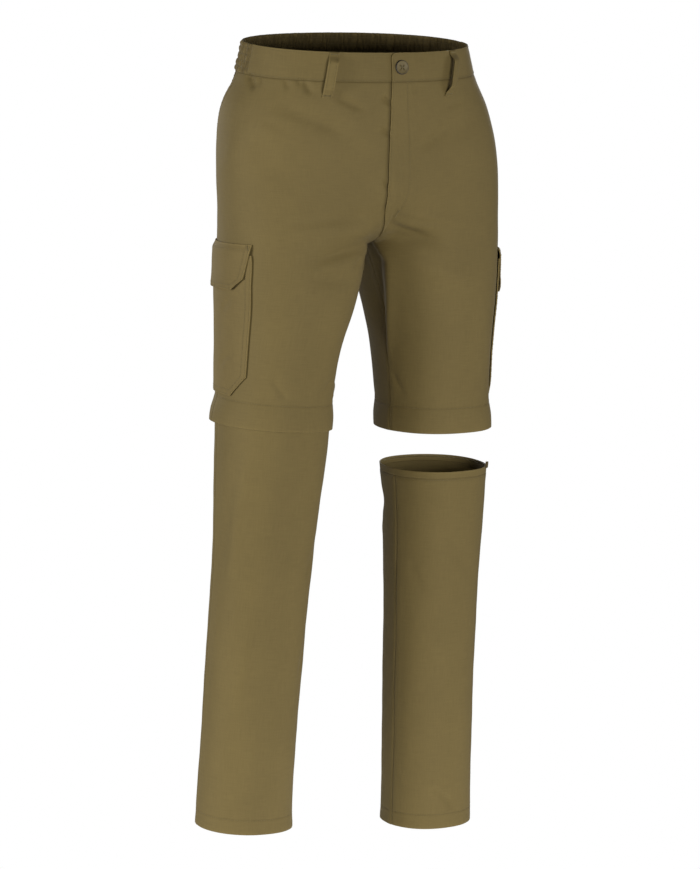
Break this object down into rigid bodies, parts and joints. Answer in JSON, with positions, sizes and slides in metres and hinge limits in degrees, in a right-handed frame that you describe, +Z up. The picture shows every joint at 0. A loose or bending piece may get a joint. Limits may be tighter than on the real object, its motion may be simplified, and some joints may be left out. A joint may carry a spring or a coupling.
{
  "type": "convertible zip-off trousers",
  "caption": "Worn, hollow convertible trousers with a part-elastic waist, flapped cargo pockets and legs that zip off at the knee, the left lower leg set off below its zip.",
  "frame": {"origin": "centre of the waist opening, level with the waistband's top edge at the sides", "axes": "+Z up out of the waist, -Y out of the front, +X towards the wearer's left"},
  "size_m": [0.4108, 0.2637, 1.0851],
  "materials": {
    "cloth": "plain-woven olive khaki, matt",
    "pocket_cloth": "the same olive cloth, laid on as a second layer",
    "waist_elastic": "olive cloth gathered over elastic, rows of stitching",
    "zip_tape": "dark olive woven zip tape",
    "zip_plastic": "dark moulded plastic",
    "button_plastic": "brown moulded plastic, half gloss"
  },
  "bodies": {
    "root": {"front_right": "cloth", "front_left": "cloth", "back_right": "cloth", "back_left": "cloth", "lower_front_right": "cloth", "lower_back_right": "cloth", "lower_front_left": "cloth", "lower_back_left": "cloth", "waistband_front_right": "cloth", "waistband_front_left": "cloth", "waistband_back": "waist_elastic", "belt_loop_front_right": "cloth", "belt_loop_front_left": "cloth", "belt_loop_back_right": "cloth", "belt_loop_back_left": "cloth", "belt_loop_centre_back": "cloth", "hip_facing_right": "pocket_cloth", "hip_facing_left": "pocket_cloth", "cargo_pocket_right": "pocket_cloth", "cargo_pocket_left": "pocket_cloth", "cargo_flap_right": "pocket_cloth", "cargo_flap_left": "pocket_cloth", "fly_zip": "zip_tape", "knee_zip_right": "zip_tape", "knee_zip_left_upper": "zip_tape", "knee_zip_left_lower": "zip_tape", "zip_end_box": "zip_plastic", "button": "button_plastic"}
  },
  "joints": []
}
